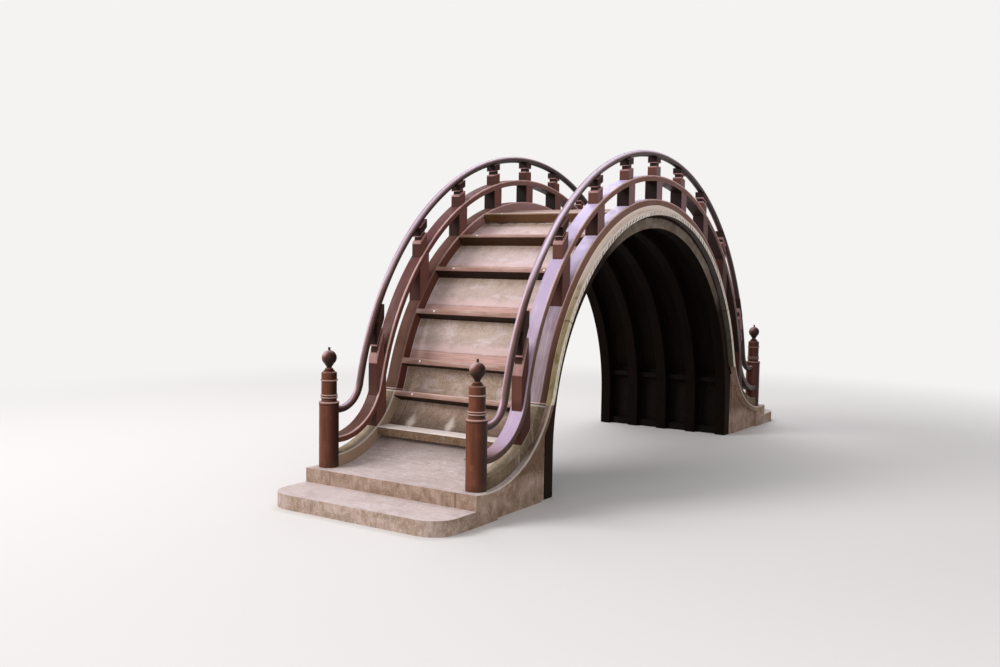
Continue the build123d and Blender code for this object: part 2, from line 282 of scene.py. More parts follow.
def buildPulse():    # a soft band of a value about a centre
    tree, enter, leave = newGroup(
        "pulse", {"Value": ("Float", 0.0), "Centre": ("Float", 0.0), "Width": ("Float", 0.01)},
        {"Mask": "Float"})
    feed(leave["Mask"], spread(abs(enter["Value"] - enter["Centre"]) / enter["Width"], 0.75, 0.35))
    return tree


def buildDrips():    # stains drawn out down a face
    tree, enter, leave = newGroup(
        "drips",
        {"Vector": ("Vector", (0, 0, 0)), "Stretch": ("Vector", (18, 18, 1.5)), "Share": ("Float", 0.4)},
        {"Mask": "Float"})
    streaks = noiseAt(stretched(enter["Vector"], enter["Stretch"]), 1.0, 5.0, 0.6, 0.2)
    feed(leave["Mask"], spread(streaks - (0.72 - enter["Share"] * 0.4), -0.08, 0.1))
    return tree


bowPlace = buildBowPlace("deckBowPlace", bow)
railPlace = buildBowPlace("railBowPlace", railBow)
pulse = buildPulse()
woodGrain = buildWoodGrain()
speckle = buildSpeckle()
mottle = buildMottle()
edgeWear = buildEdgeWear()
drips = buildDrips()
print("shared effects built")


def placeOn(curve, position, normal):
    return useGroup(curve, {"Position": position, "Normal": normal})


def grainOf(vector, stretch, waviness):
    return useGroup(woodGrain, {"Vector": vector, "Stretch": stretch, "Waviness": waviness})


def clouded(vector, scale, first, second, third):
    return useGroup(mottle, {
        "Vector": vector, "Scale": scale, "First": first, "Second": second, "Third": third})


def dripsOf(vector, stretch, share):
    return useGroup(drips, {"Vector": vector, "Stretch": stretch, "Share": share})["Mask"]


def band(value, centre, width):
    return useGroup(pulse, {"Value": value, "Centre": centre, "Width": width})["Mask"]


def wornEdge(distance, width, vector, ragged):
    worn = useGroup(edgeWear, {"Distance": distance, "Width": width, "Vector": vector, "Ragged": ragged})
    return worn["Mask"]


# Materials, each with its values beside it.

def newMaterial(name, **sockets):
    material = bpy.data.materials.new(name)
    material.use_nodes = True
    nodes = material.node_tree.nodes
    shader = nodes["Principled BSDF"]
    for label, setting in sockets.items():
        shader.inputs[label.replace("_", " ")].default_value = setting
    position = Signal(nodes.new("ShaderNodeTexCoord").outputs["Object"])
    normal = Signal(nodes.new("ShaderNodeNewGeometry").outputs["Normal"])
    return material, shader, position, normal


def finishWith(shader, colour, roughness, height, depth):
    feed(shader.inputs["Base Color"], colour)
    feed(shader.inputs["Roughness"], roughness)
    bump = addNode("Bump", {"Height": height, "Distance": depth, "Strength": 1.0})
    feed(shader.inputs["Normal"], Signal(bump.outputs[0]))


def onLeft(position):
    return axes(position)["X"] < 0.0


def farOff(position):    # grows from the crown to the far flank, to mask the painted shade there
    return spread(axes(position)["Y"], 0.8, 2.0)


def inwards(place):    # where a face looks to the walk
    return spread(place["Inward"], 0.3, 0.7)


def onTop(place):
    return spread(place["Outward"], 0.45, 0.8)


def fromJoint(place):    # signed distance from the joint between timber and concrete
    return place["Along"] - place["Lift"] * bow["jointDrift"] - bow["jointAlong"]


def fromArris(place, look):    # distance from the arris of the top with the inner or the outer face
    away = place["Aside"] - look["arrisAt"] if look["arris"] == "inner" else look["arrisAt"] - place["Aside"]
    return larger(away, look["arrisLift"] - place["Lift"])


def treadsDown(place):    # how many treads a point lies below the top one
    return (place["Along"] - bow["firstTread"]) / bow["treadPitch"]


def paintMaterial(name, look):    # brown gloss paint on the bent timbers
    material, shader, position, normal = newMaterial(name, Specular_IOR_Level=look["shine"])
    place = placeOn(look["place"], position, normal)
    grain = grainOf(place["Grain"], (22, 2.2, 22), 0.4)
    down = place["Along"] / 4.0
    # painted shade darkens the far flank and the faces turned down
    colour = blend(farOff(position) * 0.5, ramp(down, look["outer"]), look["under"])
    colour = blend(inwards(place), colour, ramp(down, look["inner"]))
    colour = blend(spread(place["Outward"], -0.3, -0.8), colour, look["under"])
    clouds = noiseAt(position, 5.0, 5.0, 0.6, 0.5)
    stain = spread(grain["Streak"] * 0.35 + clouds, 0.58, 0.86)
    # the tops take the top ramp; its pale lavender on the right rails and kerbs is a painted sky sheen
    top = blend(stain * look["stain"], ramp(down, look["top"]), look["stainColour"])
    worn = dripsOf(place["Grain"], (60, 3, 60), 0.35)
    worn = worn * spread(place["Along"], look["bareFrom"], look["bareFrom"] + 0.7)
    top = blend(worn * look["bare"], top, look["bareColour"])
    top = blend(spread(place["Along"], *look["endAlong"]), top, look["ending"])
    colour = blend(onTop(place), colour, top)
    colour = shaded(colour, look["grain"], grain["Streak"] * 0.4 + grain["Fibre"] * 0.2 + 0.72)
    # the deck's pale edge laps up over the kerb's foot, most at the crown
    if look["jointed"]:
        lap = look["lapTop"] - place["Along"] * look["lapTaper"] + (clouds - 0.5) * 0.006
        lap = spread(place["Lift"] - lap, 0.001, -0.001) * (place["Inward"] < -0.5)
        colour = blend(lap, colour, look["lapped"])
    # a pale line along one upper arris: rubbed paint, and a painted highlight on that arris
    rubbed = wornEdge(fromArris(place, look), look["arrisWidth"], position, 0.35)
    fading = spread(place["Along"], look["arrisUntil"], look["arrisUntil"] + 0.8, look["arrisAmount"], 0.15)
    colour = blend(rubbed * fading, colour, look["arrisColour"])
    if look["jointed"]:
        joint = fromJoint(place)
        colour = blend(band(joint, -0.014, 0.012) * 0.6, colour, look["arrisColour"])
        colour = blend(spread(joint, -0.008, -0.003), colour, look["under"])
    roughness = clouds * 0.22 + stain * 0.15 + (look["rough"] - 0.11)
    finishWith(shader, colour, roughness, grain["Fibre"] * 0.6 + grain["Streak"], 0.0007)
    return material


leftRail = {
    "jointed": False, "ending": tone(98, 60, 50), "endAlong": (4.0, 4.45), "place": railPlace,
    "arrisLift": 0.0, "shine": 0.22, "rough": 0.5, "grain": 0.8, "stain": 0.4,
    "stainColour": tone(96, 70, 56), "bare": 0.2, "bareColour": tone(150, 120, 112), "bareFrom": 2.2,
    "top": [(0.0, tone(116, 76, 80)), (0.35, tone(102, 58, 60)), (0.65, tone(92, 46, 44)),
        (1.0, tone(84, 44, 34))],
    "outer": [(0.0, tone(84, 50, 42)), (1.0, tone(92, 56, 46))],
    "inner": [(0.0, tone(140, 102, 94)), (0.3, tone(114, 74, 66)), (0.6, tone(100, 60, 52)),
        (1.0, tone(104, 64, 54))],
    "under": tone(40, 24, 18), "arris": "inner", "arrisAt": half["railInner"], "arrisWidth": 0.014,
    "arrisColour": tone(228, 190, 184), "arrisAmount": 0.95, "arrisUntil": 9.0,
}
rightRail = dict(leftRail, **{
    "shine": 0.35, "rough": 0.42, "stain": 0.18, "stainColour": tone(160, 136, 152), "bare": 0.25,
    "bareColour": tone(232, 218, 240),
    # pale lavender tops: a painted sky sheen
    "top": [(0.0, tone(208, 194, 232)), (0.35, tone(202, 188, 228)), (0.6, tone(192, 174, 208)),
        (0.8, tone(176, 154, 180)), (1.0, tone(190, 166, 196))],
    "outer": [(0.0, tone(128, 86, 72)), (0.6, tone(116, 74, 58)), (0.85, tone(80, 50, 38)),
        (1.0, tone(72, 44, 32))],
    "arris": "outer", "arrisAt": half["railOuter"], "arrisUntil": 2.4, "ending": tone(140, 104, 106),
})
# the left kerb's lap is darker than the right kerb's: painted shade where the key lamp lights this side
leftKerb = dict(leftRail, **{
    "jointed": True, "lapped": tone(206, 190, 174), "lapTop": 0.05, "lapTaper": 0.015, "arrisUntil": 1.2,
    "shine": 0.1, "rough": 0.6, "place": bowPlace, "arrisLift": bow["kerbLift"],
    "arrisAt": half["kerbInner"], "stain": 0.4, "stainColour": tone(74, 56, 42), "bare": 0.15,
    "bareColour": tone(110, 90, 76), "bareFrom": 1.4,
    "top": [(0.0, tone(116, 82, 76)), (0.3, tone(106, 72, 64)), (0.5, tone(100, 66, 56)),
        (0.7, tone(94, 62, 52)), (1.0, tone(92, 70, 54))],
    "inner": [(0.0, tone(176, 142, 138)), (0.25, tone(160, 126, 120)), (0.36, tone(110, 70, 58)),
        (1.0, tone(84, 46, 32))],
})
rightKerb = dict(rightRail, **{
    "jointed": True, "lapped": tone(255, 240, 226), "lapTop": 0.05, "lapTaper": 0.015, "place": bowPlace,
    "arrisLift": bow["kerbLift"], "arrisAt": half["kerbOuter"], "stain": 0.25,
    "stainColour": tone(128, 104, 106), "bare": 0.2, "bareFrom": 1.6,
    # pale lavender near the crown: a painted sky sheen
    "top": [(0.0, tone(236, 224, 255)), (0.4, tone(204, 190, 226)), (0.55, tone(150, 128, 148)),
        (0.66, tone(138, 114, 126)), (1.0, tone(132, 112, 112))],
    "outer": [(0.0, tone(120, 80, 66)), (0.35, tone(128, 88, 70)), (0.6, tone(112, 72, 56)),
        (0.72, tone(84, 52, 40)), (1.0, tone(74, 44, 32))],
    "arrisUntil": 1.9,
})


def postMaterial(look):    # the same paint on posts and struts, near black where they face down the slope, which is painted shade
    material, shader, position, normal = newMaterial("paintPosts", Specular_IOR_Level=look["shine"])
    place = placeOn(bowPlace, position, normal)
    grain = grainOf(position, (26, 26, 2.5), 0.4)
    down = place["Along"] / 3.6
    # painted shade darkens the far flank
    outer = blend(farOff(position) * 0.5, ramp(down, look["outer"]), look["head"])
    colour = blend(inwards(place), outer, ramp(down, look["inner"]))
    facing = axes(normal)
    # painted shade on the faces turned along the slope, near black near the crown
    ends = spread(abs(facing["Y"]), 0.6, 0.85)
    colour = blend(ends, colour, ramp(down, look["ends"]))
    left = onLeft(position)
    block = band(place["Lift"], look["blockLift"], look["blockWidth"]) * 0.8 * larger(ends, left)
    # on the left posts the end faces of the block take a painted shade copy of its colour
    colour = blend(block, colour, blend(left * ends, look["block"], look["blockLee"]))
    # painted shade on the heads under the handrail
    colour = blend(band(place["Lift"], look["headLift"], look["headWidth"]) * 0.85, colour, look["head"])
    # the upward faces are painted lighter, a painted sheen
    colour = blend(spread(facing["Z"], 0.3, 0.8), colour, look["top"])
    # painted highlights along the rims of the blocks
    for lift, width in look["rims"]:
        colour = blend(band(place["Lift"], lift, width) * 0.75, colour, look["rim"])
    clouds = noiseAt(position, 7.0, 5.0, 0.6, 0.4)
    colour = shaded(colour, 0.8, grain["Streak"] * 0.5 + clouds * 0.4 + 0.55)
    roughness = clouds * 0.25 + (look["rough"] - 0.12)
    finishWith(shader, colour, roughness, grain["Fibre"] * 0.6 + grain["Streak"], 0.0007)
    return material


def handrailMaterial(look):    # the round rail: glossy, with a painted highlight above and to the left, and painted shade below
    material, shader, position, normal = newMaterial("paintHandrail", Specular_IOR_Level=look["shine"])
    place = placeOn(railPlace, position, normal)
    grain = grainOf(place["Grain"], (30, 2, 30), 0.3)
    clouds = noiseAt(position, 6.0, 5.0, 0.6, 0.4)
    # a painted highlight on the faces that look up and to the left, towards the key lamp; the faces turned
    # away take painted shade
    facing = axes(normal)
    sunny = facing["Z"] * look["sunUp"] - facing["X"] * look["sunLeft"] + (clouds - 0.5) * 0.2
    sunny = sunny * 0.5 + 0.5
    # the low ends and the whole left rail take the brown ramp, whose painted highlight is narrower
    low = spread(place["Along"], *look["brownAlong"]) * 0.95
    low = larger(low, onLeft(position) * 0.6)
    colour = blend(low, ramp(sunny, look["round"]), ramp(sunny, look["brown"]))
    colour = shaded(colour, 0.8, grain["Streak"] * 0.45 + 0.78)
    finishWith(shader, colour, clouds * 0.2 + (look["rough"] - 0.1), grain["Streak"], 0.0004)
    return material


paintLeftRail = paintMaterial("paintLeftRail", leftRail)
paintRightRail = paintMaterial("paintRightRail", rightRail)
paintLeftKerb = paintMaterial("paintLeftKerb", leftKerb)
paintRightKerb = paintMaterial("paintRightKerb", rightKerb)
paintPosts = postMaterial({
    "shine": 0.12, "rough": 0.5,
    "outer": [(0.0, tone(142, 112, 116)), (0.35, tone(128, 96, 94)), (0.6, tone(96, 60, 50)),
        (0.85, tone(74, 43, 33)), (1.0, tone(68, 38, 29))],
    "inner": [(0.0, tone(126, 84, 78)), (1.0, tone(112, 72, 64))],
    "ends": [(0.0, tone(24, 12, 9)), (0.3, tone(34, 18, 14)), (0.5, tone(66, 38, 32)),
        (1.0, tone(84, 52, 42))],
    "top": tone(158, 120, 118), "blockLift": 0.417, "blockWidth": 0.1, "block": tone(106, 66, 56),
    "blockLee": tone(74, 42, 38), "headLift": 0.545, "headWidth": 0.14, "head": tone(34, 19, 15),
    "rims": ((0.4635, 0.012), (0.508, 0.006)), "rim": tone(196, 152, 148),
})
paintHandrail = handrailMaterial({
    "shine": 0.35, "rough": 0.34, "sunUp": 0.84, "sunLeft": 0.54, "brownAlong": (2.3, 2.95),
    "round": [(0.0, tone(24, 14, 11)), (0.18, tone(60, 38, 32)), (0.3, tone(112, 80, 74)),
        (0.4, tone(166, 136, 144)), (0.48, tone(210, 186, 204)), (0.55, tone(240, 220, 240)),
        (0.64, tone(255, 242, 255)), (0.74, tone(224, 204, 232)), (0.83, tone(150, 122, 140)),
        (1.0, tone(120, 92, 102))],
    "brown": [(0.0, tone(18, 10, 8)), (0.3, tone(50, 30, 24)), (0.5, tone(104, 68, 62)),
        (0.64, tone(128, 90, 88)), (0.72, tone(196, 166, 182)), (0.8, tone(208, 180, 200)),
        (0.88, tone(156, 126, 140)), (1.0, tone(118, 86, 92))],
})


def newelMaterial(look):    # the same paint on the turned posts, with light rings of rubbed paint and painted highlight
    material, shader, position, normal = newMaterial("paintNewel", Specular_IOR_Level=look["shine"])
    facing = axes(normal)
    place = axes(position)
    height = place["Z"]
    grain = grainOf(position, (24, 24, 1.6), 0.5)
    clouds = noiseAt(position, 9.0, 5.0, 0.6)
    colour = blend(spread(grain["Streak"], 0.35, 0.65), look["paint"], look["deep"])
    colour = blend(spread(clouds, 0.5, 0.78), colour, look["faded"])
    # painted shade on the side turned from the key lamp
    lee = facing["X"] * 0.8 + facing["Y"] * 0.6
    colour = blend(spread(lee, -0.35, 0.85), colour, look["lee"])
    ball = spread(height, look["ballFoot"] - 0.01, look["ballFoot"] + 0.01)
    # the ball takes a painted highlight above and to the left, and painted shade below and on the shaded side
    colour = blend(ball, colour, ramp(facing["Z"] * 0.36 - lee * 0.3 + 0.5, look["ball"]))
    # painted shade in the neck under the ball
    neck = ball * spread(height, look["neckTop"] + 0.015, look["neckTop"] - 0.015)
    colour = blend(neck * 0.8, colour, look["groove"])
    # the upward faces are painted lighter, a painted sheen
    colour = blend(spread(facing["Z"], 0.25, 0.8) * (1.0 - ball), colour, look["top"])
    # light rings on the beads: rubbed paint and painted highlight
    for centre, width in look["rings"]:
        colour = blend(band(height, centre, width) * look["ringAmount"], colour, look["ring"])
    # painted shade in the grooves
    for centre, width in look["grooves"]:
        colour = blend(band(height, centre, width) * 0.8, colour, look["groove"])
    # painted shade on the far newels
    colour = blend((place["Y"] > 0.0) * 0.35, colour, look["groove"])
    low = spread(clouds * 0.12 + height, *look["footHeights"])
    colour = blend(low * 0.5, colour, look["foot"])
    finishWith(shader, colour, clouds * 0.25 + (look["rough"] - 0.12), grain["Fibre"], 0.0006)
    return material


# The rings, grooves and ball lie at these heights above the floor.
paintNewel = newelMaterial({
    "paint": tone(112, 63, 42), "deep": tone(94, 48, 29), "faded": tone(124, 74, 55),
    "lee": tone(46, 17, 2), "top": tone(140, 104, 94), "foot": tone(84, 54, 40), "rough": 0.38,
    "shine": 0.22, "ballFoot": 1.172, "neckTop": 1.222, "footHeights": (0.42, 0.33),
    "ball": [(0.0, tone(18, 8, 4)), (0.42, tone(34, 15, 7)), (0.6, tone(72, 38, 26)),
        (0.76, tone(110, 74, 66)), (0.88, tone(178, 146, 148)), (1.0, tone(204, 174, 178))],
    "rings": ((0.858, 0.010), (0.9025, 0.008), (0.9245, 0.008), (1.059, 0.009)),
    "ring": tone(206, 172, 162), "ringAmount": 0.7,
    "grooves": ((0.8365, 0.006), (0.8905, 0.006), (0.9135, 0.005), (1.0505, 0.005), (1.153, 0.006)),
    "groove": tone(40, 24, 18),
})


def boardMaterial(look):    # bare boards between the treads, stained from tread to tread
    material, shader, position, normal = newMaterial("bareBoards", Specular_IOR_Level=0.3)
    place = placeOn(bowPlace, position, normal)
    pitch = treadsDown(place)
    share = calc("FRACT", pitch)
    share = pick(pitch > look["lowPanel"], share, share * look["lowShare"])
    across = grainOf(place["Grain"], (3, 70, 10), 1.0)
    downward = grainOf(place["Grain"], (70, 6, 10), 0.8)
    base = ramp(place["Along"] / 3.4, look["bands"])
    wash = noiseAt(stretched(place["Grain"], (2.2, 5.0, 1.0)), 1.6, 5.0, 0.6, 0.5)
    base = blend(spread(wash, 0.45, 0.66) * 0.6, base, look["bleached"])
    dull = noiseAt(stretched(place["Grain"], (3.0, 4.0, 1.0)), 2.3, 5.0, 0.65, 0.3)
    base = blend(spread(dull, 0.5, 0.72) * 0.45, base, look["dull"])
    rough = noiseAt(stretched(place["Grain"], (9, 3, 3)), 1.0, 5.0, 0.65)
    ragged = (rough - 0.5) * 0.35 + share
    # painted shadow under each tread, partly stain
    colour = blend(spread(ragged, 0.42, 0.1) * look["underAmount"], base, look["under"])
    spots = useGroup(speckle, {"Vector": position, "Scale": 80.0, "Share": 0.55})["Mask"]
    colour = blend(spots * spread(ragged, 0.8, 0.35) * 0.4, colour, look["spots"])
    colour = blend(spread(downward["Fibre"], 0.47, 0.68) * 0.45, colour, look["streak"])
    lines = spread(across["Fibre"], 0.5, 0.72)
    colour = blend(lines * 0.35, colour, look["streak"])
    # a redder board with level grain ends each panel, under a dark seam
    foot = spread(share, look["seam"] - 0.006, look["seam"] + 0.006)
    washed = spread(ragged, 0.56, 0.72) * spread(place["Along"], 1.4, 1.9)
    colour = blend(washed * 0.6, colour, look["washed"])
    streaky = blend(spread(across["Streak"], 0.4, 0.6), look["red"], look["redPale"])
    streaky = blend(lines * 0.5, streaky, look["redLine"])
    colour = blend(foot * look["redAmount"], colour, streaky)
    seam = band(share, look["seam"], 0.016)
    broken = spread(rough, 0.4, 0.5)
    colour = blend(seam * broken * 0.3, colour, look["seamLine"])
    # darker along each panel's lowest edge, where it meets the tread below
    wet = spread(rough * 0.06 + share, 1.0, 1.03)
    colour = blend(wet * 0.5, colour, look["seamLine"])
    # a painted light line in the slit below the top tread, where lit board shows through
    colour = blend(band(pitch, look["slitAt"], 0.02) * broken, colour, look["slit"])
    rubbed = wornEdge(half["walk"] - place["Aside"], 0.012, position, 0.25)
    colour = blend(rubbed * 0.6, colour, look["bleached"])
    colour = blend(spread(place["Downhill"], 0.5, 0.8), colour, look["end"])
    relief = across["Streak"] * 0.8 + downward["Fibre"] - seam * 1.5
    finishWith(shader, colour, 0.75 - wash * 0.2, relief, 0.0012)
    return material


bareBoards = boardMaterial({
    "bands": [(0.0, tone(160, 128, 118)), (0.255, tone(190, 162, 156)), (0.33, tone(214, 188, 186)),
        (0.46, tone(212, 190, 192)), (0.62, tone(200, 178, 172)), (0.78, tone(190, 168, 160)),
        (0.87, tone(168, 142, 126)), (1.0, tone(150, 126, 110))],
    "bleached": tone(232, 216, 224), "dull": tone(160, 134, 122), "under": tone(128, 102, 86),
    "underAmount": 0.75, "lowPanel": 4.0, "lowShare": 0.817, "seam": 0.79, "red": tone(190, 146, 134),
    "redPale": tone(210, 170, 160), "redLine": tone(150, 106, 94), "washed": tone(228, 198, 196),
    "redAmount": 0.85, "slit": tone(236, 226, 206), "slitAt": 0.135, "seamLine": tone(88, 60, 50),
    "streak": tone(130, 104, 94), "spots": tone(214, 196, 164), "end": tone(226, 208, 200),
})


def treadMaterial(look):    # tread bars: pale outer face with painted light on its crest and painted shade low down, red-brown step, near-black front of painted shade
    material, shader, position, normal = newMaterial("treadTimber", Specular_IOR_Level=0.2)
    place = placeOn(bowPlace, position, normal)
    grain = grainOf(place["Grain"], (2.2, 60, 60), 0.8)
    blotch = noiseAt(stretched(position, (4, 20, 20)), 1.0, 5.0, 0.6, 0.4)
    face = blend(spread(blotch, 0.35, 0.62), look["face"], look["faceDeep"])
    face = blend(spread(grain["Streak"], 0.5, 0.68) * 0.4, face, look["line"])
    # how far down the tread a point lies, as a share of the pitch
    pitch = treadsDown(place)
    fromLow = (place["Along"] - bow["lowTread"]) / bow["treadPitch"]
    share = pick(place["Along"] > bow["lowTread"] - 0.1, calc("FRACT", pitch + 0.02), fromLow)
    # painted shade on the lower part of each bar's outer face, painted light along its upper edge, and a
    # darker band below the top tread's crest
    lower = spread(grain["Streak"] * 0.03 + share, *look["lowerShare"])
    face = blend(lower * 0.6, face, look["faceLow"])
    upper = spread(grain["Streak"] * 0.02 + share, *look["upperShare"])
    face = blend(upper * 0.35, face, look["crest"])
    crest = spread(pitch, 0.3, 0.2) * spread(share, *look["crestShare"])
    face = blend(crest * 0.8, face, look["crest"])
    face = blend((pitch < 0.3) * spread(share, *look["crestLowShare"]), face, look["crestLow"])
    step = blend(spread(grain["Streak"], 0.35, 0.6), look["step"], look["stepPale"])
    # the faces turned down the slope take painted shade, near black lower down
    front = ramp(place["Along"] / 3.4, look["front"])
    front = blend(spread(grain["Fibre"], 0.5, 0.7) * 0.5, front, look["frontPale"])
    colour = blend(spread(place["Downhill"], -0.4, -0.75), face, step)
    colour = blend(spread(place["Downhill"], 0.45, 0.8), colour, front)
    finishWith(shader, colour, blotch * 0.25 + 0.45, grain["Fibre"] * 0.5 + grain["Streak"], 0.0014)
    return material


treadTimber = treadMaterial({
    "face": tone(186, 154, 144), "faceDeep": tone(156, 122, 106), "line": tone(126, 90, 76),
    "faceLow": tone(140, 98, 86), "crest": tone(250, 226, 216), "crestLow": tone(134, 108, 88),
    "lowerShare": (0.075, 0.11), "upperShare": (0.048, 0.034), "crestShare": (0.06, 0.05),
    "crestLowShare": (0.065, 0.08), "step": tone(148, 100, 86), "stepPale": tone(196, 160, 152),
    "front": [(0.0, tone(104, 74, 50)), (0.29, tone(98, 68, 44)), (0.4, tone(60, 36, 18)),
        (0.5, tone(32, 15, 5)), (1.0, tone(30, 15, 6))],
    "frontPale": tone(84, 58, 38),
})


def deckEdgeMaterial(look):    # the deck's pale timber, seen at its edges, with the ends of cross planks
    material, shader, position, normal = newMaterial("deckEdgeTimber", Specular_IOR_Level=0.25)
    place = placeOn(bowPlace, position, normal)
    grain = grainOf(place["Grain"], (30, 3, 70), 0.8)
    cloud = clouded(stretched(place["Grain"], (2, 1, 6)), 3.0, look["pale"], look["grey"], look["tan"])
    low = spread(place["Along"], look["seamAt"] - 0.4, look["seamAt"] + 0.2)
    colour = blend(low * 0.6, cloud["Color"], look["low"])
    green = spread(noiseAt(stretched(place["Grain"], (3, 2, 8)), 2.6, 5.0, 0.65), 0.5, 0.66)
    colour = blend(green * low * 0.7, colour, look["lowGreen"])
    # plank ends: slanted dark gaps on the lower part of the band
    number = (place["Lift"] * look["slant"] + place["Along"]) / look["plank"]
    uneven = addNode("TexWhiteNoise", {"W": calc("FLOOR", number)}, noise_dimensions="1D")
    uneven = Signal(uneven.outputs["Value"])
    gap = band(calc("FRACT", number), 0.5, uneven * 0.12 + 0.24)
    level = grain["Streak"] * 0.012 + place["Lift"]
    ticks = gap * spread(level, *look["tickTop"]) * spread(level, *look["tickFoot"])
    onFlank = spread(place["Along"], *look["ticksFrom"]) * spread(place["Along"], *look["ticksTo"])
    ticks = ticks * (onFlank * 0.4 + uneven * 0.4 + 0.2)
    colour = blend(ticks, colour, look["gap"])
    ledge = blend(spread(cloud["Cloud"], 0.4, 0.6), look["ledge"], look["ledgePale"])
    ledge = blend(spread(place["Along"], 1.7, 2.4), ledge, look["ledgeLow"])
    ledge = blend(green * spread(place["Along"], 1.4, 2.4), ledge, look["ledgeGreen"])
    colour = blend(onTop(place), colour, ledge)
    colour = blend(spread(grain["Streak"], 0.55, 0.7) * 0.35, colour, look["line"])
    seam = band(place["Along"], look["seamAt"], 0.008)
    colour = blend(seam * 0.8, colour, look["gap"])
    # painted shade on the faces turned down
    colour = blend(spread(place["Outward"], -0.4, -0.8) * 0.9, colour, look["under"])
    # painted shade on the left side, which the key lamp lights most
    colour = blend(onLeft(position), colour, multiplied(colour, look["sunny"]))
    relief = grain["Fibre"] + grain["Streak"] - larger(ticks, seam) * 3.0
    finishWith(shader, colour, 0.88 - cloud["Cloud"] * 0.15, relief, 0.0014)
    return material


deckEdgeTimber = deckEdgeMaterial({
    "pale": tone(255, 246, 238), "grey": tone(238, 222, 210), "tan": tone(208, 184, 164),
    "low": tone(240, 232, 208), "lowGreen": tone(190, 182, 130), "ledge": tone(246, 226, 212),
    "ledgePale": tone(255, 242, 232), "ledgeLow": tone(196, 180, 140), "ledgeGreen": tone(150, 136, 92),
    "line": tone(124, 100, 80), "gap": tone(66, 56, 50), "under": tone(34, 24, 18),
    "sunny": tone(206, 198, 190), "plank": 0.074, "slant": 1.5, "seamAt": 2.39, "tickTop": (-0.01, -0.02),
    "tickFoot": (-0.048, -0.038), "ticksFrom": (0.35, 0.8), "ticksTo": (2.35, 2.0),
})


def ribMaterial(look):    # ribs and lining, near black inside as painted shade under the arch, paler where the outer ribs show below the deck's edge
    material, shader, position, normal = newMaterial("darkRibs", Specular_IOR_Level=0.06)
    place = placeOn(bowPlace, position, normal)
    grain = grainOf(place["Grain"], (26, 2, 26), 0.6)
    # near black inside the arch: painted shade
    colour = blend(spread(grain["Streak"], 0.35, 0.65), look["dark"], look["brown"])
    outside = spread(place["Inward"], -0.4, -0.8) * spread(place["Aside"], 0.86, 0.88)
    cloud = clouded(place["Grain"], 4.0, look["side"], look["sideDark"], look["sideGreen"])
    # below the deck's edge they show pale grey, near the crown and farther down on the far flank; nearer the
    # deck they take painted shade
    until = (axes(position)["Y"] > 0.0) * look["fartherBy"] + look["weatherUntil"]
    weathered = spread(cloud["Cloud"] * 0.05 + place["Lift"], -0.052, -0.07)
    weathered = weathered * spread(place["Along"] - until, 0.6, 0.0)
    colour = blend(outside, colour, blend(weathered, look["sheltered"], cloud["Color"]))
    finishWith(shader, colour, cloud["Cloud"] * 0.2 + 0.7, grain["Fibre"] + grain["Streak"], 0.0012)
    return material


darkRibs = ribMaterial({
    "dark": tone(10, 5, 2), "brown": tone(17, 9, 5), "side": tone(142, 130, 118),
    "sideDark": tone(108, 96, 84), "sideGreen": tone(114, 108, 86), "sheltered": tone(40, 29, 21),
    "weatherUntil": 0.8, "fartherBy": 1.0,
})


# What lies nearer the middle, deeper and closer to the axis than this is inside the arch.
underArch = {"reach": 2.3, "lift": -0.03, "aside": 0.9}


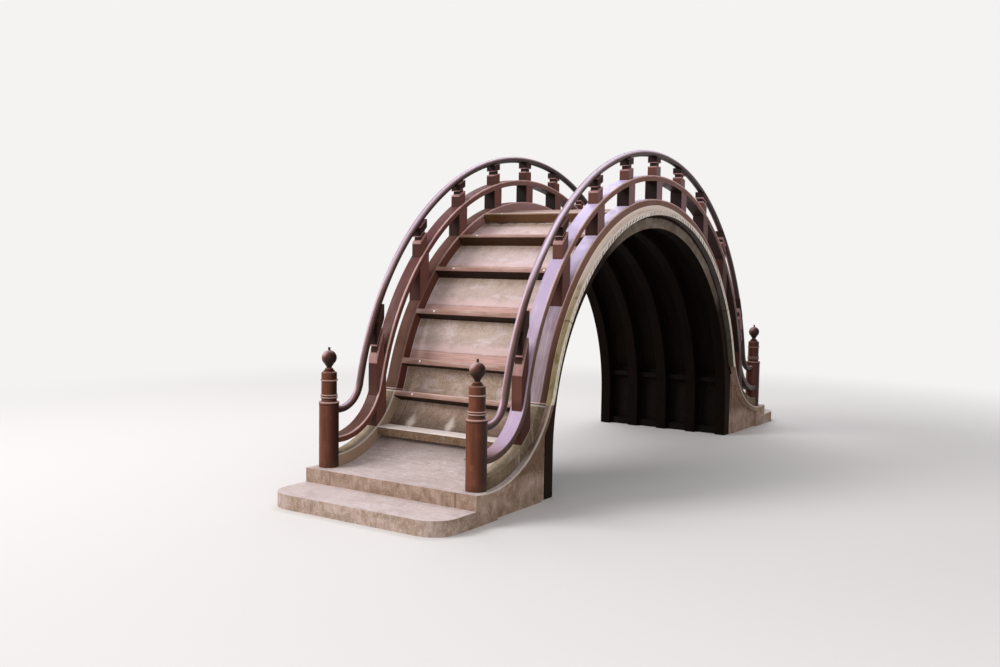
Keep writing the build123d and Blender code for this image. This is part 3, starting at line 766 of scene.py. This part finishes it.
def concreteMaterial(name, look):    # brushed and mottled on top, stained down its faces, mossy low down
    material, shader, position, normal = newMaterial(name, Specular_IOR_Level=0.1)
    facing = axes(normal)
    place = axes(position)
    onBowAt = placeOn(bowPlace, position, normal)
    flat = spread(facing["Z"], look["flatFrom"], look["flatFrom"] + 0.25)
    top = clouded(position, 3.2, look["top"], look["topGrey"], look["topPale"])
    # higher up the tops are painted darker; on the ramp this is painted shade beside the bottom tread
    high = spread(place["Z"], look["highFrom"], look["highTo"])
    topColour = blend(high, top["Color"], blend(top["Cloud"], look["high"], look["highPale"]))
    side = clouded(position, 7.0, look["side"], look["sideDark"], look["sideGreen"])
    run = dripsOf(position, (26, 26, 11), 0.5)
    sideColour = blend(run * look["stains"], side["Color"], look["streak"])
    pale = dripsOf(position, (16, 16, 1.6), 0.2)
    sideColour = blend(pale * look["lime"], sideColour, look["limeColour"])
    # the flanks are darker and browner than the fronts: their own browner tone, with painted shade
    flank = spread(abs(facing["X"]), 0.6, 0.9)
    flank = flank * spread(place["Z"], look["flankFrom"], look["flankFrom"] + 0.12)
    sideColour = blend(flank * look["flankAmount"], sideColour, look["flank"])
    if look["innerSide"]:
        sideColour = blend(inwards(onBowAt) * 0.75, sideColour, look["innerSide"])
    colour = blend(flat, sideColour, topColour)
    # brushed lines run across the walk
    brushed = noiseAt(stretched(position, (3.2, 46, 46)), 1.0, 6.0, 0.8, 0.3)
    brushed = spread(brushed, 0.47, 0.6) * flat * look["brushed"]
    colour = blend(brushed, colour, look["brushedLine"])
    for runX, runZ in look["runs"]:
        away = abs(place["X"] - runX) / look["runWidth"] + abs(place["Z"] - runZ) / look["runHeight"]
        mark = spread(side["Cloud"] * 0.6 + away, 1.8, 0.5) * (place["Y"] < 0.0)
        colour = blend(mark * 0.75, colour, look["limeColour"])
    # painted shade: near black below the deck, between the ribs
    inside = (abs(place["Y"]) < underArch["reach"]) * (onBowAt["Lift"] < underArch["lift"])
    inside = inside * (onBowAt["Aside"] < underArch["aside"])
    colour = blend(inside, colour, look["inside"])
    grit = noiseAt(position, 150.0, 4.0, 0.75)
    colour = blend(spread(grit, 0.5, 0.64) * 0.5, colour, multiplied(colour, look["gritDark"]))
    gritPale = spread(grit, 0.46, 0.32) * look["gritPaleAmount"] * (1.0 - inside * 0.95)
    colour = blend(gritPale, colour, look["gritPale"])
    low = spread(place["Z"], look["mossTop"], 0.0) * look["moss"]
    mossy = spread(noiseAt(position, 7.0, 6.0, 0.7) + low * 0.4, 0.66, 0.78) * (1.0 - inside * 0.85)
    colour = blend(mossy, colour, look["mossColour"])
    if look["arris"]:
        rubbed = wornEdge(fromArris(onBowAt, look), 0.016, position, 0.4)
        colour = blend(rubbed * 0.75, colour, look["limeColour"])
    if look["jointed"]:
        joint = fromJoint(onBowAt)
        colour = blend(band(joint, 0.012, 0.016) * 0.6, colour, look["limeColour"])
        colour = blend(spread(joint, 0.006, 0.002), colour, look["inside"])
    relief = top["Cloud"] * 2.0 + mossy * 2.0 + grit - brushed
    for jointX in look["joints"]:
        joint = band(place["X"], jointX, 0.007) * (abs(facing["Y"]) > 0.7) * (1.0 - inside)
        colour = blend(joint * 0.7, colour, look["streak"])
        relief = relief - joint * 3.0
    finishWith(shader, colour, 0.92 - top["Cloud"] * 0.15, relief, 0.0016)
    return material


stepLook = {
    "flatFrom": 0.5, "highFrom": 3.0, "highTo": 4.0, "high": tone(80, 62, 48),
    "highPale": tone(112, 92, 78), "top": tone(222, 208, 206), "topGrey": tone(206, 188, 184),
    "topPale": tone(234, 222, 222), "side": tone(200, 178, 168), "sideDark": tone(168, 144, 126),
    "sideGreen": tone(206, 190, 176), "streak": tone(96, 78, 56), "stains": 0.3, "lime": 0.25,
    "limeColour": tone(222, 210, 198), "brushed": 0.18, "brushedLine": tone(150, 128, 118), "runs": (),
    "runWidth": 0.055, "runHeight": 0.085, "joints": (), "inside": tone(14, 9, 6),
    "flank": tone(92, 62, 32), "flankAmount": 0.3, "flankFrom": 0.0, "innerSide": None,
    "gritDark": tone(150, 134, 124), "gritPale": tone(240, 230, 226), "gritPaleAmount": 0.35, "moss": 0.2,
    "mossTop": 0.16, "mossColour": tone(112, 106, 62), "arris": None, "jointed": False,
}
rampLook = dict(stepLook, **{
    "highFrom": 0.27, "highTo": 0.56, "joints": (-0.656, 0.7315), "runs": ((-0.51, 0.6), (-0.05, 0.61)),
    "side": tone(186, 160, 146), "sideDark": tone(156, 130, 112), "sideGreen": tone(172, 154, 126),
    "brushed": 0.36, "flankAmount": 0.7, "flankFrom": 0.22, "moss": 0.15, "mossTop": 0.5, "arris": "outer",
    "arrisAt": half["deck"], "arrisLift": 0.0,
})
kerbLook = dict(rampLook, **{
    "flatFrom": 0.15, "highFrom": 0.5, "highTo": 0.95, "high": tone(110, 94, 76),
    "highPale": tone(150, 134, 112), "joints": (), "runs": (), "top": tone(186, 166, 146),
    "topGrey": tone(160, 140, 114), "topPale": tone(208, 194, 176), "side": tone(126, 108, 88),
    "sideDark": tone(100, 82, 62), "sideGreen": tone(122, 112, 74), "brushed": 0.1, "flankAmount": 0.0,
    "innerSide": tone(184, 158, 134), "lime": 0.45, "moss": 0.1, "jointed": True, "arris": "inner",
    "arrisAt": half["kerbInner"], "arrisLift": bow["kerbLift"],
})
stepConcrete = concreteMaterial("stepConcrete", stepLook)
rampConcrete = concreteMaterial("rampConcrete", rampLook)
kerbConcrete = concreteMaterial("kerbConcrete", kerbLook)
treadConcrete = concreteMaterial("treadConcrete", dict(stepLook, **{
    "top": tone(246, 234, 230), "topGrey": tone(236, 222, 216), "topPale": tone(250, 240, 236),
    "flatFrom": 0.2, "gritDark": tone(196, 186, 180), "brushed": 0.05, "side": tone(130, 104, 82),
    "sideDark": tone(108, 84, 62), "sideGreen": tone(140, 118, 92),
}))
# near black sills under the arch: painted shade
darkConcrete = concreteMaterial("darkConcrete", dict(stepLook, **{
    "side": tone(24, 17, 12), "sideDark": tone(17, 12, 8), "sideGreen": tone(28, 23, 14),
    "top": tone(34, 26, 19), "topGrey": tone(27, 20, 14), "topPale": tone(46, 36, 28), "lime": 0.05,
    "gritPaleAmount": 0.03,
}))


def screwMaterial():
    material, shader, position, normal = newMaterial("zincScrews", Metallic=0.15)
    dust = noiseAt(position, 160.0, 3.0, 0.6)
    colour = ramp(dust, [(0.3, tone(255, 253, 254)), (0.7, tone(238, 232, 234))])
    finishWith(shader, colour, dust * 0.3 + 0.25, dust, 0.0002)
    return material


zincScrews = screwMaterial()
print("materials built")


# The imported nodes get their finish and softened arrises.

def soften(piece, size, segments=3):
    weld = piece.modifiers.new("weld", "WELD")
    weld.merge_threshold = 0.00002
    bevel = piece.modifiers.new("bevel", "BEVEL")
    bevel.width = size
    bevel.segments = segments
    bevel.limit_method = "ANGLE"
    bevel.angle_limit = math.radians(35)
    bevel.harden_normals = False
    bevel.use_clamp_overlap = True
    even = piece.modifiers.new("even", "WEIGHTED_NORMAL")
    even.weight = 80
    even.keep_sharp = False


def dress(name, material, bevelSize=0.0, segments=3):
    piece = cadNodes[name]
    piece.data.materials.clear()
    piece.data.materials.append(material)
    if bevelSize:
        soften(piece, bevelSize, segments)


sides = (("left", paintLeftRail, paintLeftKerb), ("right", paintRightRail, paintRightKerb))
for sideName, rail, kerb in sides:
    dress(sideName + "_mid_rail", rail, 0.004)
    dress(sideName + "_kerb", kerb, 0.006)
    dress(sideName + "_posts", paintPosts, 0.004)
    dress(sideName + "_struts", paintPosts, 0.003)
    dress(sideName + "_handrail", paintHandrail)

for endName in ("near", "far"):
    for sideName in ("left", "right"):
        dress(f"{endName}_{sideName}_newel", paintNewel)
    dress(endName + "_lower_step", stepConcrete, 0.008)
    dress(endName + "_abutment", rampConcrete, 0.006)
    dress(endName + "_kerb_feet", kerbConcrete, 0.006)
    dress(endName + "_sills", darkConcrete, 0.005)
    dress(endName + "_tread_1", treadConcrete, 0.006)
    for number in range(2, 8):
        dress(f"{endName}_tread_{number}", treadTimber, 0.002)
    dress(endName + "_riser_boards", bareBoards, 0.0015)
dress("crown_boards", bareBoards, 0.002)
dress("arch_deck", deckEdgeTimber, 0.003)
for number in range(1, 6):
    dress(f"rib_{number}", darkRibs, 0.004)
dress("soffit_boards", darkRibs)
print("packed nodes dressed")


# Added pieces.

def onBow(along, lift, x=0.0):    # a point along the bow and the outward direction there
    reach, end = abs(along), -1.0 if along < 0 else 1.0
    if reach <= bow["turnAlong"]:
        angle = reach / bow["radius"]
        centreY, centreZ, size = 0.0, bow["centreHeight"], bow["radius"] + lift
    else:
        angle = bow["turnAngle"] - (reach - bow["turnAlong"]) / bow["flareRadius"]
        centreY, centreZ, size = bow["flareY"], bow["flareZ"], lift - bow["flareRadius"]
    outward = Vector((0.0, end * math.sin(angle), math.cos(angle)))
    point = Vector((x, end * (centreY + size * math.sin(angle)), centreZ + size * math.cos(angle)))
    return point, outward


def addPiece(name, mesh, material, body="root"):
    if isinstance(mesh, bmesh.types.BMesh):
        data = bpy.data.meshes.new(name)
        bmesh.ops.recalc_face_normals(mesh, faces=mesh.faces)
        mesh.to_mesh(data)
        mesh.free()
        mesh = data
    piece = bpy.data.objects.new(name, mesh)
    bpy.context.scene.collection.objects.link(piece)
    mesh.materials.append(material)
    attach(piece, body)
    return piece


screws = {
    "radius": 0.0115, "height": 0.003, "rings": 4, "sides": 20, "slotWidth": 0.0022, "slotDepth": 0.0012,
}


def buildScrews():    # domed heads with a slot, one near each end of every timber tread
    mesh = bmesh.new()
    rng = random.Random(7)
    for end in (-1, 1):
        for index in range(6):
            along = end * (bow["firstTread"] + bow["treadPitch"] * (index + bow["barShare"] / 2 - 0.012))
            if index == 5:
                along = end * (bow["lowTread"] + 0.032)
            for sideX in (-half["screw"], half["screw"]):
                point, outward = onBow(along, bow["kerbLift"], sideX)
                turn = outward.to_track_quat("Z", "Y").to_matrix().to_4x4()
                turn = Matrix.Translation(point) @ turn @ Matrix.Rotation(rng.uniform(0, math.pi), 4, "Z")
                rows = []
                for ring in range(screws["rings"] + 1):
                    share = ring / screws["rings"]
                    radius = screws["radius"] * math.cos(share * math.pi / 2 * 0.92)
                    height = screws["height"] * math.sin(share * math.pi / 2)
                    row = []
                    for step in range(screws["sides"]):
                        angle = 2 * math.pi * step / screws["sides"]
                        x, y = radius * math.cos(angle), radius * math.sin(angle)
                        dip = screws["slotDepth"] if abs(y) < screws["slotWidth"] / 2 and ring else 0.0
                        row.append(mesh.verts.new(turn @ Vector((x, y, height - dip))))
                    rows.append(row)
                for lower, upper in zip(rows, rows[1:]):
                    for step in range(screws["sides"]):
                        after = (step + 1) % screws["sides"]
                        mesh.faces.new((lower[step], lower[after], upper[after], upper[step]))
                mesh.faces.new(rows[-1])
                mesh.faces.new(list(reversed(rows[0])))
    return addPiece("treadScrews", mesh, zincScrews)


buildScrews()
print("screws set")


# Floor, light and camera.

stage = {
    "floorSize": 60.0, "floorColour": tone(230, 228, 226), "floorDark": tone(210, 206, 202),
    "backColour": tone(244, 243, 242), "fill": 0.42, "fillColour": (1.0, 0.985, 1.0, 1.0),
    "fade": (4.5, 11.0),    # where the floor starts to pass into the backdrop, and where it ends
}


def buildStage():
    mesh = bmesh.new()
    reach = stage["floorSize"]
    corners = [mesh.verts.new((x * reach, y * reach, 0.0)) for x, y in ((-1, -1), (1, -1), (1, 1), (-1, 1))]
    mesh.faces.new(corners)
    data = bpy.data.meshes.new("floor")
    mesh.to_mesh(data)
    mesh.free()
    floor = bpy.data.objects.new("floor", data)
    bpy.context.scene.collection.objects.link(floor)
    material, shader, position, normal = newMaterial("paleFloor", Roughness=0.9, Specular_IOR_Level=0.2)
    tree = material.node_tree
    cloud = noiseAt(position, 0.7, 3.0)
    feed(shader.inputs["Base Color"], blend(cloud * 0.06, stage["floorColour"], stage["floorDark"]))
    # far away the floor passes into the backdrop, for the eye and for what mirrors it
    paths = results(addNode("LightPath", {}, tree))
    seen = larger(paths["Is Camera Ray"], larger(paths["Is Glossy Ray"], paths["Is Transmission Ray"]))
    away = Signal(addNode("VectorMath", {0: position}, operation="LENGTH").outputs["Value"])
    glow = addNode("Emission", {"Color": stage["backColour"], "Strength": 1.0}, tree)
    both = addNode("MixShader", {
        0: seen * spread(away, *stage["fade"]), 1: Signal(shader.outputs[0]), 2: Signal(glow.outputs[0])})
    feed(tree.nodes["Material Output"].inputs["Surface"], Signal(both.outputs[0]))
    data.materials.append(material)

    world = bpy.data.worlds.new("softSky")
    bpy.context.scene.world = world
    world.use_nodes = True
    tree = world.node_tree
    tree.nodes.clear()
    light = addNode("Background", {"Color": stage["fillColour"], "Strength": stage["fill"]}, tree)
    back = addNode("Background", {"Color": stage["backColour"], "Strength": 1.0}, tree)
    paths = results(addNode("LightPath", {}, tree))
    seen = larger(paths["Is Camera Ray"], paths["Is Transmission Ray"])
    both = addNode("MixShader", {0: seen, 1: Signal(light.outputs[0]), 2: Signal(back.outputs[0])})
    addNode("OutputWorld", {"Surface": Signal(both.outputs[0])})


warm = (1.0, 0.98, 0.97)
lamps = {
    "key": {"place": (-11, -13, 12), "aim": (0, -0.5, 1.3), "size": 9.0, "power": 2600, "colour": warm},
    "sky": {"place": (-2.5, 3, 10), "aim": (0, 0, 1), "size": 7.0, "power": 500, "colour": (0.97, 0.95, 1.0)},
    "front": {"place": (7, -11, 4.5), "aim": (0, 0, 1.2), "size": 6.0, "power": 190, "colour": warm},
}


def addLamp(name, values):
    data = bpy.data.lights.new(name, "AREA")
    data.shape = "SQUARE"
    data.size = values["size"]
    data.energy = values["power"]
    data.color = values["colour"]
    lamp = bpy.data.objects.new(name, data)
    lamp.location = values["place"]
    aim = Vector(values["aim"]) - Vector(values["place"])
    lamp.rotation_euler = aim.to_track_quat("-Z", "Y").to_euler()
    bpy.context.scene.collection.objects.link(lamp)


view = {"place": (5.606, -10.198, 2.157), "yaw": 0.5844, "pitch": 0.0696, "roll": 0.0154, "lens": 36.81}


def addCamera():
    data = bpy.data.cameras.new("camera")
    data.sensor_width = 36.0
    data.lens = view["lens"]
    data.clip_end = 200.0
    camera = bpy.data.objects.new("camera", data)
    yaw, pitch, roll = view["yaw"], view["pitch"], view["roll"]
    ahead = Vector((-math.sin(yaw) * math.cos(pitch), math.cos(yaw) * math.cos(pitch), -math.sin(pitch)))
    right = Vector((math.cos(yaw), math.sin(yaw), 0.0))
    up = right.cross(ahead)
    rolledRight = math.cos(roll) * right + math.sin(roll) * up
    rolledUp = math.cos(roll) * up - math.sin(roll) * right
    turn = Matrix((rolledRight, rolledUp, -ahead)).transposed().to_4x4()
    camera.matrix_world = Matrix.Translation(view["place"]) @ turn
    bpy.context.scene.collection.objects.link(camera)
    bpy.context.scene.camera = camera


buildStage()
for lampName, lampValues in lamps.items():
    addLamp(lampName, lampValues)
addCamera()
bpy.context.scene.view_settings.view_transform = "Standard"
print("stage, lamps and camera set")
